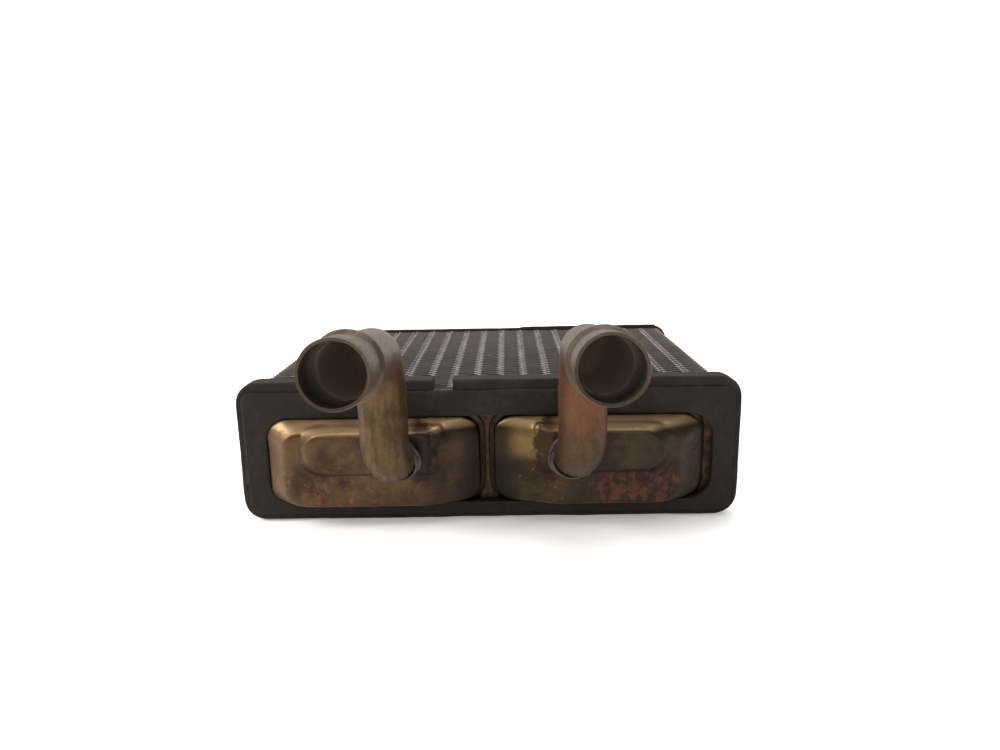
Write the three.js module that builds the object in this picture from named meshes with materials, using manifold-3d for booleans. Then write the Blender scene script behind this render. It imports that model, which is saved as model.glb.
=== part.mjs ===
// Cabin heater radiator (heater core) of copper and brass, soft soldered, with glued foam seals.
// Millimetres, +Z up. X runs across the core, Y runs from the pipe end to the rear tank.
// Origin: middle of the lower face of the front foam seal, on the surface that the radiator rests on.
// Water enters one front tank, runs back through nine flat tubes, turns round in the rear tank and
// comes forward through the other nine. Air passes upwards between the folded fins.

import * as THREE from 'three';
import { mergeVertices } from 'three/addons/utils/BufferGeometryUtils.js';
import Module from 'manifold-3d';

const wasm = await Module();
wasm.setup();

// ---------------------------------------------------------------- driving dimensions

const FIT_GAP = 0.3; // left between soldered or glued neighbours

const TUBE_COUNT = 18;
const TUBE_PITCH = 9;
const TUBE_THICK = 2.3;
const TUBE_WALL = 0.4;
const CORE_LOW = 3; // lower face of the core
const CORE_HIGH = 49; // upper face of the core
const TUBE_MARGIN = 1; // tubes are this much shallower than the fins, above and below

const HEADER_HALF_WIDTH = 88.2;
const HEADER_PLATE = 1.2;
const HEADER_RIM = 1.8; // height of the rim beyond the plate
const HEADER_RIM_WALL = 1;
const HEADER_CORNER = 3.5;
const FRONT_HEADER_Y = 0; // outer face of the front plate
const REAR_HEADER_Y = 123.2; // outer face of the rear plate

const FIN_HALF_CORE = 85.5; // free folds of the two outermost strips end here
const FIN_FOLDS = 18;
const FIN_STRIP = 0.35;
const FIN_END_GAP = 0.4;

const TANK_WALL = 1;
const TANK_CORNER = 8.5;
const TANK_LOW = 7.5;
const TANK_HIGH = 39.5;
const TANK_SECTIONS = [ // distance out from the header, and how far the section has drawn in
  { out: FIT_GAP, inset: 0 },
  { out: 7, inset: 0.4 },
  { out: 10.6, inset: 1.3 },
  { out: 12, inset: 3 },
];
const FLANGE_THICK = 0.9;
const FLANGE_WIDTH = 1.8;
const FLANGE_INBOARD = 0.4; // narrower where the two tanks stand side by side
const INLET_TANK = { side: -1, inboard: 3, outboard: 80, padInboard: 19, padOutboard: 64 };
const OUTLET_TANK = { side: 1, inboard: 2, outboard: 77, padInboard: 19, padOutboard: 62.5 };

const PAD_LOW = 22;
const PAD_HIGH = 37.3;
const PAD_CORNER = 7;
const PAD_SECTIONS = [ // distance out from the header, and how much of each skirt is left
  { out: 9.5, skirt: 1 },
  { out: 15.2, skirt: 0.15 },
  { out: 16, skirt: -0.1 },
];
const PAD_SKIRT = { inboard: 9, outboard: 4, low: 1.8, high: 1.2 };

const RETURN_TANK = { halfWidth: 84, low: 7, high: 45, corner: 8 };
const RETURN_SECTIONS = [
  { out: FIT_GAP, inset: 0 },
  { out: 9.8, inset: 0.8 },
  { out: 12.6, inset: 2.2 },
  { out: 13.8, inset: 4.4 },
];

const PIPE_OUTER = 8;
const PIPE_BORE = 6.95;
const PIPE_SIDES = 16;
const PIPE_STEPS = 26;
const FOOT_BEND = 11;
const NECK_BEND = 21;
const BEAD_OUTER = 9.15;
const BEAD_HALF = 1.7;
const BEAD_FROM_MOUTH = 19;
const INLET_ROUTE = [[-32.3, -12, 30], [-33.6, -27.5, 24.6], [-33.6, -27.5, 68.5], [-29, -109.5, 79.8]];
const OUTLET_ROUTE = [[29.6, -12, 30], [31.8, -26.2, 25.8], [31.8, -26.2, 68.5], [29.4, -109, 79.8]];

const COLLAR_FOOT = 10.6; // radius of the solder collar on the tank
const COLLAR_TOP = 9.1;
const COLLAR_HEIGHT = 2.6;
const CUTTER = 60; // side of the block that trims a collar flat

const SEAL_HALF_WIDTH = 91.5;
const SEAL_TOP = 53;
const SEAL_CORNER = 8;
const OUTER_SEAL = { near: -4, far: 4 };
const SEAL_BREAK = { from: -19.4, to: -12.3, deep: 20 }; // the strip's ends don't meet here
const INNER_SEAL = { near: -5, far: -2.1, corner: 7 };
const INNER_SEAL_HOLE = { from: -80.5, to: 81, low: 7.1, high: 39.9, corner: 8.9 };
const REAR_SEAL = { near: 122.6, far: 132.6, top: 50.2, corner: 6.5 };
const REAR_LAP = { from: 9, to: 84.5, thick: 1.0, sunk: 0.6 }; // the strip's end lies over its start

// ---------------------------------------------------------------- materials

function finish(color, roughness, metalness) {
  return new THREE.MeshStandardMaterial({ color, roughness, metalness });
}

const FINISHES = {
  tube: finish(0x9a938c, 0.45, 0.9), // tinned brass
  fin: finish(0x5a5458, 0.6, 0.6), // copper with a dark heat-proof paint
  header: finish(0x7a6048, 0.45, 0.9),
  tank: finish(0x9c8354, 0.4, 1), // tarnished brass
  pipe: finish(0xa08a68, 0.4, 1),
  solder: finish(0xb4b2ae, 0.35, 1),
  foam: finish(0x26211e, 0.95, 0),
};

// ---------------------------------------------------------------- helpers for outlines and solids

// Rounded rectangle as points, anticlockwise with X to the right and Z up.
function roundedRect(left, right, low, high, radius, steps = 4) {
  const corners = [
    [right - radius, low + radius, -Math.PI / 2],
    [right - radius, high - radius, 0],
    [left + radius, high - radius, Math.PI / 2],
    [left + radius, low + radius, Math.PI],
  ];
  return corners.flatMap(([cx, cz, start]) =>
    Array.from({ length: steps + 1 }, (_, i) => {
      const angle = start + (i / steps) * (Math.PI / 2);
      return new THREE.Vector2(cx + radius * Math.cos(angle), cz + radius * Math.sin(angle));
    }));
}

// Plate of an X-Z outline with holes, between two Y positions.
function slab(outline, holes, near, far) {
  const shape = new THREE.Shape(outline);
  shape.holes = holes.map((points) => new THREE.Path(points));
  const geometry = new THREE.ExtrudeGeometry(shape, { depth: far - near, bevelEnabled: false });
  return geometry.rotateX(Math.PI / 2).translate(0, far, 0);
}

// Skin through equal rings of points that follow each other towards -Y, closed at both ends.
function loft(rings) {
  const count = rings[0].length;
  const positions = rings.flat().flatMap((p) => p.toArray());
  const indices = [];
  for (let k = 0; k < rings.length - 1; k++) {
    for (let i = 0; i < count; i++) {
      const a = k * count + i;
      const b = k * count + ((i + 1) % count);
      indices.push(a, b, b + count, a, b + count, a + count);
    }
  }
  for (let i = 1; i < count - 1; i++) {
    const last = (rings.length - 1) * count;
    indices.push(0, i + 1, i, last, last + i, last + i + 1);
  }
  const geometry = new THREE.BufferGeometry();
  geometry.setAttribute('position', new THREE.Float32BufferAttribute(positions, 3));
  geometry.setIndex(indices);
  return geometry;
}

const ringAt = (outline, y) => outline.map((p) => new THREE.Vector3(p.x, y, p.y));

function toSolid(geometry) {
  const bare = geometry.clone();
  bare.deleteAttribute('normal');
  bare.deleteAttribute('uv');
  const merged = mergeVertices(bare, 1e-4);
  return new wasm.Manifold(new wasm.Mesh({
    numProp: 3,
    vertProperties: new Float32Array(merged.attributes.position.array),
    triVerts: new Uint32Array(merged.index.array),
  }));
}

function toGeometry(solid) {
  const { vertProperties, triVerts } = solid.getMesh();
  const geometry = new THREE.BufferGeometry();
  geometry.setAttribute('position', new THREE.BufferAttribute(new Float32Array(vertProperties), 3));
  geometry.setIndex(new THREE.BufferAttribute(new Uint32Array(triVerts), 1));
  return geometry;
}

const radiator = new THREE.Group();

function addPart(name, geometry, material) {
  const mesh = new THREE.Mesh(geometry, material);
  mesh.name = name;
  radiator.add(mesh);
  return mesh;
}

// ---------------------------------------------------------------- core: tubes and fins

const numbered = (name, index) => `${name}_${String(index + 1).padStart(2, '0')}`;
const tubeX = (index) => (index - (TUBE_COUNT - 1) / 2) * TUBE_PITCH;
const TUBE_ROUND_STEPS = 2;

function tubeOutline(x, shrink) {
  const half = TUBE_THICK / 2 - shrink;
  const low = CORE_LOW + TUBE_MARGIN + shrink;
  const high = CORE_HIGH - TUBE_MARGIN - shrink;
  return roundedRect(x - half, x + half, low, high, half * 0.98, TUBE_ROUND_STEPS);
}

// Flat water tube, open at both ends, flush with the outer faces of the two header plates.
function waterTube(x) {
  return slab(tubeOutline(x, 0), [tubeOutline(x, TUBE_WALL)], FRONT_HEADER_Y, REAR_HEADER_Y);
}

// One strip folded to and fro between left and right, as deep as the core.
function foldedFin(left, right) {
  const start = FRONT_HEADER_Y + HEADER_PLATE + FIN_END_GAP;
  const end = REAR_HEADER_Y - HEADER_PLATE - FIN_END_GAP;
  const bends = FIN_FOLDS * 2;
  const pitch = (end - start) / bends;
  const breadth = FIN_STRIP * Math.hypot(right - left, pitch) / pitch; // of the strip, measured along X
  const edge = (shift) => Array.from({ length: bends + 1 }, (_, i) =>
    new THREE.Vector2(i % 2 ? right - breadth + shift : left + shift, start + i * pitch));
  const outline = [...edge(breadth), ...edge(0).reverse()];
  const geometry = new THREE.ExtrudeGeometry(new THREE.Shape(outline), {
    depth: CORE_HIGH - CORE_LOW,
    bevelEnabled: false,
  });
  return geometry.translate(0, 0, CORE_LOW);
}

for (let i = 0; i < TUBE_COUNT; i++) {
  addPart(numbered('tube', i), waterTube(tubeX(i)), FINISHES.tube);
}
for (let i = 0; i <= TUBE_COUNT; i++) {
  const reach = TUBE_PITCH - TUBE_THICK / 2 - FIT_GAP;
  const left = i === 0 ? -FIN_HALF_CORE : tubeX(i) - reach;
  const right = i === TUBE_COUNT ? FIN_HALF_CORE : tubeX(i - 1) + reach;
  addPart(numbered('fin', i), foldedFin(left, right), FINISHES.fin);
}

// ---------------------------------------------------------------- header plates

// Tube plate with a slot for each tube. Its rim stands up on the side away from the core.
function headerPlate() {
  const outline = roundedRect(-HEADER_HALF_WIDTH, HEADER_HALF_WIDTH, CORE_LOW, CORE_HIGH, HEADER_CORNER);
  const slots = Array.from({ length: TUBE_COUNT }, (_, i) => {
    const half = TUBE_THICK / 2 + FIT_GAP;
    const low = CORE_LOW + TUBE_MARGIN - FIT_GAP;
    const high = CORE_HIGH - TUBE_MARGIN + FIT_GAP;
    return roundedRect(tubeX(i) - half, tubeX(i) + half, low, high, half * 0.6, 1);
  });
  const rimInside = roundedRect(
    -HEADER_HALF_WIDTH + HEADER_RIM_WALL,
    HEADER_HALF_WIDTH - HEADER_RIM_WALL,
    CORE_LOW + HEADER_RIM_WALL,
    CORE_HIGH - HEADER_RIM_WALL,
    HEADER_CORNER - HEADER_RIM_WALL,
  );
  const plate = toSolid(slab(outline, slots, 0, HEADER_PLATE));
  const rim = toSolid(slab(outline, [rimInside], -HEADER_RIM, HEADER_PLATE / 2));
  return toGeometry(plate.add(rim));
}

addPart('front_header', headerPlate(), FINISHES.header).position.y = FRONT_HEADER_Y;
const rearHeader = addPart('rear_header', headerPlate(), FINISHES.header);
rearHeader.rotation.z = Math.PI;
rearHeader.position.y = REAR_HEADER_Y;

// ---------------------------------------------------------------- pipes

// Round bend of a tube between two straight runs that would meet at a corner.
class PipeBend extends THREE.Curve {
  constructor(before, corner, after, radius) {
    super();
    const back = before.clone().sub(corner).normalize();
    const ahead = after.clone().sub(corner).normalize();
    const half = back.angleTo(ahead) / 2;
    const reach = radius / Math.tan(half);
    this.start = corner.clone().addScaledVector(back, reach);
    this.end = corner.clone().addScaledVector(ahead, reach);
    this.centre = back.clone().add(ahead).normalize().multiplyScalar(radius / Math.sin(half)).add(corner);
    this.radial = this.start.clone().sub(this.centre);
    this.forward = back.clone().multiplyScalar(-radius);
    this.turn = Math.PI - 2 * half;
  }

  getPoint(t, target = new THREE.Vector3()) {
    const angle = t * this.turn;
    return target.copy(this.centre)
      .addScaledVector(this.radial, Math.cos(angle))
      .addScaledVector(this.forward, Math.sin(angle));
  }
}

function pipePath(route) {
  const [foot, elbow, neck, mouth] = route.map((p) => new THREE.Vector3(...p));
  const lower = new PipeBend(foot, elbow, neck, FOOT_BEND);
  const upper = new PipeBend(elbow, neck, mouth, NECK_BEND);
  const path = new THREE.CurvePath();
  path.add(new THREE.LineCurve3(foot, lower.start));
  path.add(lower);
  path.add(new THREE.LineCurve3(lower.end, upper.start));
  path.add(upper);
  path.add(new THREE.LineCurve3(upper.end, mouth));
  return path;
}

function sweptRound(path, radius, bore) {
  const shape = new THREE.Shape().absarc(0, 0, radius, 0, Math.PI * 2);
  if (bore) shape.holes.push(new THREE.Path().absarc(0, 0, bore, 0, Math.PI * 2));
  return new THREE.ExtrudeGeometry(shape, {
    steps: PIPE_STEPS,
    curveSegments: PIPE_SIDES / 2,
    extrudePath: path,
  });
}

// Ring turned about +Y, from a half section of [radius, distance along the axis] points.
function turnedRing(section) {
  const profile = [...section, section[0]].map(([radius, along]) => new THREE.Vector2(radius, along));
  return new THREE.LatheGeometry(profile, PIPE_SIDES);
}

function alignY(geometry, at, direction) {
  const turn = new THREE.Quaternion().setFromUnitVectors(new THREE.Vector3(0, 1, 0), direction);
  return geometry.applyQuaternion(turn).translate(at.x, at.y, at.z);
}

// Bent pipe with a raised bead that keeps the hose on.
function waterPipe(path, route) {
  const neck = new THREE.Vector3(...route[2]);
  const mouth = new THREE.Vector3(...route[3]);
  const direction = mouth.clone().sub(neck).normalize();
  const seat = mouth.clone().addScaledVector(direction, -BEAD_FROM_MOUTH);
  const root = (PIPE_BORE + PIPE_OUTER) / 2;
  const bead = alignY(turnedRing([
    [root, -BEAD_HALF], [PIPE_OUTER, -BEAD_HALF], [BEAD_OUTER, -BEAD_HALF / 3],
    [BEAD_OUTER, BEAD_HALF / 3], [PIPE_OUTER, BEAD_HALF], [root, BEAD_HALF],
  ]), seat, direction);
  return toGeometry(toSolid(sweptRound(path, PIPE_OUTER, PIPE_BORE)).add(toSolid(bead)));
}

// Solder collar: a low cone round the foot of the pipe, flat on the tank's pad.
function solderCollar(envelope, route) {
  const foot = new THREE.Vector3(...route[0]);
  const direction = new THREE.Vector3(...route[1]).sub(foot).normalize();
  const padFace = -PAD_SECTIONS.at(-1).out - FIT_GAP;
  const toPad = (padFace - foot.y) / direction.y;
  const root = PIPE_OUTER - 1;
  const cone = alignY(turnedRing([
    [root, toPad - COLLAR_FOOT / 2], [COLLAR_FOOT, toPad - COLLAR_FOOT / 2],
    [COLLAR_FOOT, toPad], [COLLAR_TOP, toPad + COLLAR_HEIGHT], [root, toPad + COLLAR_HEIGHT],
  ]), foot, direction);
  const behindPad = new THREE.BoxGeometry(CUTTER, CUTTER, CUTTER)
    .translate(foot.x, padFace + CUTTER / 2, foot.z);
  return toGeometry(toSolid(cone).subtract(toSolid(behindPad)).subtract(envelope));
}

// ---------------------------------------------------------------- tanks

function tankSection({ side, inboard, outboard }, out, inset) {
  const [left, right] = [side * inboard, side * outboard].sort((a, b) => a - b);
  const radius = TANK_CORNER - inset;
  return ringAt(roundedRect(left + inset, right - inset, TANK_LOW + inset, TANK_HIGH - inset, radius), -out);
}

function padSection({ side, padInboard, padOutboard }, out, skirt, shrink) {
  const inner = side * (padInboard - PAD_SKIRT.inboard * skirt + shrink);
  const outer = side * (padOutboard + PAD_SKIRT.outboard * skirt - shrink);
  const [left, right] = [inner, outer].sort((a, b) => a - b);
  const low = PAD_LOW - PAD_SKIRT.low * skirt + shrink;
  const high = PAD_HIGH + PAD_SKIRT.high * skirt - shrink;
  return ringAt(roundedRect(left, right, low, high, PAD_CORNER - shrink), -out);
}

// Stamped tank shape with its raised pad, drawn in all over by the given amount.
function tankShape(tank, shrink) {
  const body = TANK_SECTIONS.map(({ out, inset }) => tankSection(tank, out - shrink, inset + shrink));
  const pad = PAD_SECTIONS.map(({ out, skirt }) => padSection(tank, out - shrink, skirt, shrink));
  return toSolid(loft(body)).add(toSolid(loft(pad)));
}

// Front tank: a pressed shell, open towards the header, with a flat flange that is soldered to it.
function frontTank(tank, envelope) {
  const { side, inboard, outboard } = tank;
  const inner = side * (inboard - FLANGE_INBOARD);
  const outer = side * (outboard + FLANGE_WIDTH);
  const [left, right] = [inner, outer].sort((a, b) => a - b);
  const low = TANK_LOW - FLANGE_WIDTH;
  const high = TANK_HIGH + FLANGE_WIDTH;
  const flangeOutline = roundedRect(left, right, low, high, TANK_CORNER);
  const flange = toSolid(slab(flangeOutline, [], -FIT_GAP - FLANGE_THICK, -FIT_GAP));
  const solid = tankShape(tank, 0).add(flange).subtract(tankShape(tank, TANK_WALL));
  return toGeometry(solid.subtract(envelope));
}

const FRONT_SIDES = [
  ['inlet', INLET_TANK, INLET_ROUTE],
  ['outlet', OUTLET_TANK, OUTLET_ROUTE],
];
for (const [name, tank, route] of FRONT_SIDES) {
  const path = pipePath(route);
  const envelope = toSolid(sweptRound(path, PIPE_OUTER + FIT_GAP));
  addPart(`${name}_tank`, frontTank(tank, envelope), FINISHES.tank);
  addPart(`${name}_pipe`, waterPipe(path, route), FINISHES.pipe);
  addPart(`${name}_collar`, solderCollar(envelope, route), FINISHES.solder);
}

// Rear tank: one pressed shell over the whole rear header, in which the water turns round.
function returnTank() {
  const { halfWidth, low, high, corner } = RETURN_TANK;
  const shell = (shrink) => toSolid(loft(RETURN_SECTIONS.map(({ out, inset }) => {
    const draw = inset + shrink;
    const outline = roundedRect(-halfWidth + draw, halfWidth - draw, low + draw, high - draw, corner - draw);
    return ringAt(outline, shrink - out);
  })));
  return toGeometry(shell(0).subtract(shell(TANK_WALL)));
}

const rearTank = addPart('return_tank', returnTank(), FINISHES.tank);
rearTank.rotation.z = Math.PI;
rearTank.position.y = REAR_HEADER_Y;

// ---------------------------------------------------------------- foam seals

// Outline of a header with room for the foam to sit on it.
const headerOutline = (gap) => roundedRect(
  -HEADER_HALF_WIDTH - gap, HEADER_HALF_WIDTH + gap, CORE_LOW - gap, CORE_HIGH + gap, HEADER_CORNER + gap,
);

// Outer strip, wrapped round the front header, with a short break in its top run.
function outerSeal() {
  const outline = roundedRect(-SEAL_HALF_WIDTH, SEAL_HALF_WIDTH, 0, SEAL_TOP, SEAL_CORNER);
  const ring = toSolid(slab(outline, [headerOutline(FIT_GAP)], OUTER_SEAL.near, OUTER_SEAL.far));
  const { from, to, deep } = SEAL_BREAK;
  const breakBox = new THREE.BoxGeometry(to - from, deep, deep).translate((from + to) / 2, 0, SEAL_TOP);
  return toGeometry(ring.subtract(toSolid(breakBox)));
}

// Inner frame, in front of the header rim and close round the two tanks.
function innerSeal() {
  const { near, far, corner } = INNER_SEAL;
  const { from, to, low, high, corner: holeCorner } = INNER_SEAL_HOLE;
  const outline = roundedRect(-HEADER_HALF_WIDTH, HEADER_HALF_WIDTH, CORE_LOW, CORE_HIGH, corner);
  return slab(outline, [roundedRect(from, to, low, high, holeCorner)], near, far);
}

// Rear strip, wrapped round the rear header so that its end overlaps along half of the top.
function rearSeal() {
  const { near, far, top, corner } = REAR_SEAL;
  const { from, to, thick, sunk } = REAR_LAP;
  const outline = roundedRect(-SEAL_HALF_WIDTH, SEAL_HALF_WIDTH, 0, top, corner);
  const lap = new THREE.BoxGeometry(to - from, far - near, thick + sunk)
    .translate((from + to) / 2, (near + far) / 2, top + (thick - sunk) / 2);
  const ring = slab(outline, [headerOutline(FIT_GAP)], near, far);
  return toGeometry(toSolid(ring).add(toSolid(lap)));
}

addPart('front_seal_outer', outerSeal(), FINISHES.foam);
addPart('front_seal_inner', innerSeal(), FINISHES.foam);
addPart('rear_seal', rearSeal(), FINISHES.foam);

export default radiator;
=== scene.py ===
# %% [markdown]
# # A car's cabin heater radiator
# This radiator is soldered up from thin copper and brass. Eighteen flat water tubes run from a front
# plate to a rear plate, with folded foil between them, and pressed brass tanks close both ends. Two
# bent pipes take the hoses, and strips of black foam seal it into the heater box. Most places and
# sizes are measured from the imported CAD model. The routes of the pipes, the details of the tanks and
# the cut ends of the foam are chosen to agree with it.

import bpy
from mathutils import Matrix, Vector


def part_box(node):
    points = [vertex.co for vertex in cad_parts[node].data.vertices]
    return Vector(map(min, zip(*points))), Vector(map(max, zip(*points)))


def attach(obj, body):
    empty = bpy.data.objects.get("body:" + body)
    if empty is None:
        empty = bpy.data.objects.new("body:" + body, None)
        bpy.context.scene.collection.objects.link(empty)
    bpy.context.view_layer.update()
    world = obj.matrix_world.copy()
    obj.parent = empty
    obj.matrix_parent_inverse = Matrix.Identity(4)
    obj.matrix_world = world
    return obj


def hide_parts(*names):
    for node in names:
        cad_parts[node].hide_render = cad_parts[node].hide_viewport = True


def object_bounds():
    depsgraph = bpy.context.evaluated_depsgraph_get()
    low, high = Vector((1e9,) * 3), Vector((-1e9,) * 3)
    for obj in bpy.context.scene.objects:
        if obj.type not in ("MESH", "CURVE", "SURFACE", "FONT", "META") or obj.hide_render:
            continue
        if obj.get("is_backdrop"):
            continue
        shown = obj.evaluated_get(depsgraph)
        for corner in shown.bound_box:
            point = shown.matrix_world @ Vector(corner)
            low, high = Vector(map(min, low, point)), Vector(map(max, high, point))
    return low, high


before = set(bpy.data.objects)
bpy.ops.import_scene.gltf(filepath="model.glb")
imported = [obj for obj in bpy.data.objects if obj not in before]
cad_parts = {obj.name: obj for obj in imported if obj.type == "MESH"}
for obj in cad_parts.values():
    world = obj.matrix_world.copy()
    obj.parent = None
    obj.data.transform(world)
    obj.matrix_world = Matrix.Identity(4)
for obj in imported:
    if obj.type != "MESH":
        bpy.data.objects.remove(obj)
cad_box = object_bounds()
print("CAD nodes:", len(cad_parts))

# %% Blender's modules and the unit
import math
from functools import partial

import bpy
from mathutils import Matrix, Vector

MM = 0.001  # metres in a millimetre


def box_mm(node):
    """Lowest and highest corner of a CAD node, in millimetres."""
    low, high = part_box(node)
    return Vector(low) / MM, Vector(high) / MM


tube_names = sorted(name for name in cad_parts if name.startswith("tube_"))
fin_names = sorted(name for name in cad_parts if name.startswith("fin_"))
print("tubes:", len(tube_names), "fin strips:", len(fin_names))

# %% [markdown]
# ## Tools for modelling by operator
# Every piece below starts as a primitive and is shaped in edit mode, as it would be by hand. By
# hand, the next faces are picked with the mouse. In a script they are picked by a rule about their
# place or their normal, so one short function turns a rule into a selection.

# %% Selection and edit-mode helpers


def deselect():
    """Leaves edit mode and deselects everything, ready for a new primitive."""
    if bpy.context.object and bpy.context.object.mode != "OBJECT":
        bpy.ops.object.mode_set(mode="OBJECT")
    bpy.ops.object.select_all(action="DESELECT")


def activate(piece):
    """Makes the piece the only selected object, and the active one."""
    deselect()
    piece.select_set(True)
    bpy.context.view_layer.objects.active = piece


def pick(piece, rule, level="VERT"):
    """Selects the vertices, edges or faces whose middle, in mm, and normal pass the rule."""
    activate(piece)
    mesh = piece.data
    for group in (mesh.vertices, mesh.edges, mesh.polygons):
        group.foreach_set("select", [False] * len(group))
    points = mesh.vertices
    if level == "VERT":
        for vertex in points:
            vertex.select = rule(vertex.co / MM, vertex.normal)
    elif level == "EDGE":
        for edge in mesh.edges:
            first, second = (points[i].co / MM for i in edge.vertices)
            edge.select = rule((first + second) / 2, (second - first).normalized())
    else:
        for face in mesh.polygons:
            face.select = rule(face.center / MM, face.normal)
    levels = ("VERT", "EDGE", "FACE")
    bpy.context.tool_settings.mesh_select_mode = [level == name for name in levels]
    bpy.ops.object.mode_set(mode="EDIT")


def edit_all(piece, level="VERT"):
    """Opens the piece in edit mode with all of it selected."""
    activate(piece)
    bpy.ops.object.mode_set(mode="EDIT")
    bpy.ops.mesh.select_mode(type=level)
    bpy.ops.mesh.select_all(action="SELECT")


def leave_edit():
    """Goes back to object mode, which writes the edits to the mesh."""
    bpy.ops.object.mode_set(mode="OBJECT")


def face_outwards():
    """Turns all faces of the open piece outwards, and leaves edit mode."""
    bpy.ops.mesh.select_all(action="SELECT")
    bpy.ops.mesh.normals_make_consistent(inside=False)
    leave_edit()


print("selection helpers ready")

# %% Shaping helpers


def place_in_mesh(piece):
    """Leaves the object at the origin, with its place, turn and size in its mesh."""
    activate(piece)
    bpy.ops.object.transform_apply(location=True, rotation=True, scale=True)


def apply_modifier(piece, kind, **settings):
    """Adds one modifier, sets it and applies it."""
    activate(piece)
    modifier = piece.modifiers.new(kind.title(), kind)
    for name, value in settings.items():
        setattr(modifier, name, value)
    bpy.ops.object.modifier_apply(modifier=modifier.name)


def add_block(name, low, high):
    """A cube primitive between two corners given in mm."""
    low, high = Vector(low) * MM, Vector(high) * MM
    deselect()
    bpy.ops.mesh.primitive_cube_add(size=1, location=(low + high) / 2, scale=high - low)
    block = bpy.context.object
    block.name = name
    place_in_mesh(block)
    return block


def move_by(x, y, z):
    """Moves the selection by a vector in mm."""
    bpy.ops.transform.translate(value=(x * MM, y * MM, z * MM))


def round_off(radius, steps, affect="EDGES"):
    """Bevels the selection to a radius in mm."""
    bpy.ops.mesh.bevel(offset=radius * MM, segments=steps, affect=affect)


def extrude_by(x, y, z, steps=1):
    """Extrudes the selection by a vector in mm, in equal steps, and leaves the end selected."""
    move = {"value": (x / steps * MM, y / steps * MM, z / steps * MM)}
    for _ in range(steps):
        bpy.ops.mesh.extrude_region_move(TRANSFORM_OT_translate=move)


def spin_about(centre, axis, angle, steps):
    """Spins the selection about an axis through a centre in mm, by an angle in radians."""
    bpy.ops.mesh.spin(steps=steps, angle=angle, center=Vector(centre) * MM, axis=axis)


print("shaping helpers ready")

# %% Helpers that copy, roughen and join


def duplicate(piece, name, shift):
    """A copy with its own mesh, moved by a vector in mm."""
    activate(piece)
    bpy.ops.object.duplicate(linked=False)
    copy = bpy.context.object
    copy.name = name
    copy.location = Vector(shift) * MM
    place_in_mesh(copy)
    return copy


def ripple(piece, size, strength, seed, direction="NORMAL"):
    """Uneven handwork: soft hills of a size and height in mm, different for each seed."""
    cloud = bpy.data.textures.new(f"ripple_{piece.name}_{seed}", "CLOUDS")
    cloud.noise_scale = size * MM
    cloud.noise_depth = 1
    shifter = bpy.data.objects.new(f"ripple_origin_{seed}", None)
    bpy.context.collection.objects.link(shifter)
    shifter.location = (seed * 0.37, seed * 0.11, 0)
    bpy.context.view_layer.update()
    apply_modifier(
        piece, "DISPLACE", texture=cloud, texture_coords="OBJECT", texture_coords_object=shifter,
        strength=strength * MM, mid_level=0.5, direction=direction,
    )
    bpy.data.objects.remove(shifter)


def join(first, others):
    """Joins the other pieces into the first."""
    activate(first)
    for other in others:
        other.select_set(True)
    bpy.ops.object.join()
    return first


def punch_out(piece, cutter):
    """Takes the cutter's shape out of the piece, and the cutter out of the scene."""
    apply_modifier(piece, "BOOLEAN", operation="DIFFERENCE", solver="EXACT", object=cutter)
    bpy.data.objects.remove(cutter)


def soften(piece, voxel, passes):
    """Remeshes a solid as one fine skin, with cells of a size in mm, and smooths it."""
    apply_modifier(piece, "REMESH", mode="VOXEL", voxel_size=voxel * MM)
    apply_modifier(piece, "SMOOTH", factor=0.5, iterations=passes)


print("joining helpers ready")

# %% [markdown]
# ## Tools for materials
# Colours are written as the hex codes of a paint chart, which are sRGB, and Blender's sockets want
# linear light, so one function turns the code round. One more adds a node with its settings and its
# links, and every material below is wired with it. Pattern scales come from a size in millimetres.

# %% Colour and node helpers


def paint(code):
    """Linear colour of an sRGB hex code."""
    parts = [int(code[i:i + 2], 16) / 255 for i in (1, 3, 5)]
    linear = [c / 12.92 if c <= 0.04045 else ((c + 0.055) / 1.055) ** 2.4 for c in parts]
    return (*linear, 1.0)


def blobs(size):
    """Scale of a noise whose blobs measure about so many millimetres."""
    return 1 / (size * MM)


def add_node(tree, kind, inputs, output=None, **settings):
    """Adds a shader node with its settings and links, and gives back one of its outputs.

    An input is called by its name, or by its place among the enabled ones. It is a value, or a
    socket to link from.
    """
    made = tree.nodes.new("ShaderNode" + kind)
    for name, value in settings.items():
        setattr(made, name, value)
    enabled = [socket for socket in made.inputs if socket.enabled]
    for key, value in (inputs if isinstance(inputs, dict) else dict(enumerate(inputs))).items():
        socket = enabled[key] if isinstance(key, int) else made.inputs[key]
        if isinstance(value, bpy.types.NodeSocket):
            tree.links.new(value, socket)
        else:
            socket.default_value = value
    results = [socket for socket in made.outputs if socket.enabled]
    return made.outputs[output] if output else (results[0] if results else None)


def new_material(name):
    """An empty material, the node function bound to its tree, and its Object coordinates."""
    material = bpy.data.materials.new(name)
    material.use_nodes = True
    material.node_tree.nodes.clear()
    node = partial(add_node, material.node_tree)
    return material, node, node("TexCoord", {}, "Object")


SMOOTH = {"interpolation_type": "SMOOTHSTEP"}  # soft ends for a Map Range
COLOUR = {"data_type": "RGBA"}  # a Mix of two colours
print("material helpers ready")

# %% [markdown]
# ## Tarnished brass
# The tanks are pressed from brass sheet and have been hot, wet and soldered, so the yellow has gone
# to an olive brown with patches where the zinc has left and pink copper shows. It could be painted
# by hand, but cloud patterns of different sizes give the same story on every side: wide areas of
# tarnish, copper patches that gather low and outboard, and fine dark specks. Burnt flux has run out
# beside each pipe's foot, so a ragged ring round the foot is stained as well.

# %% Tarnished brass for the tanks


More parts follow.
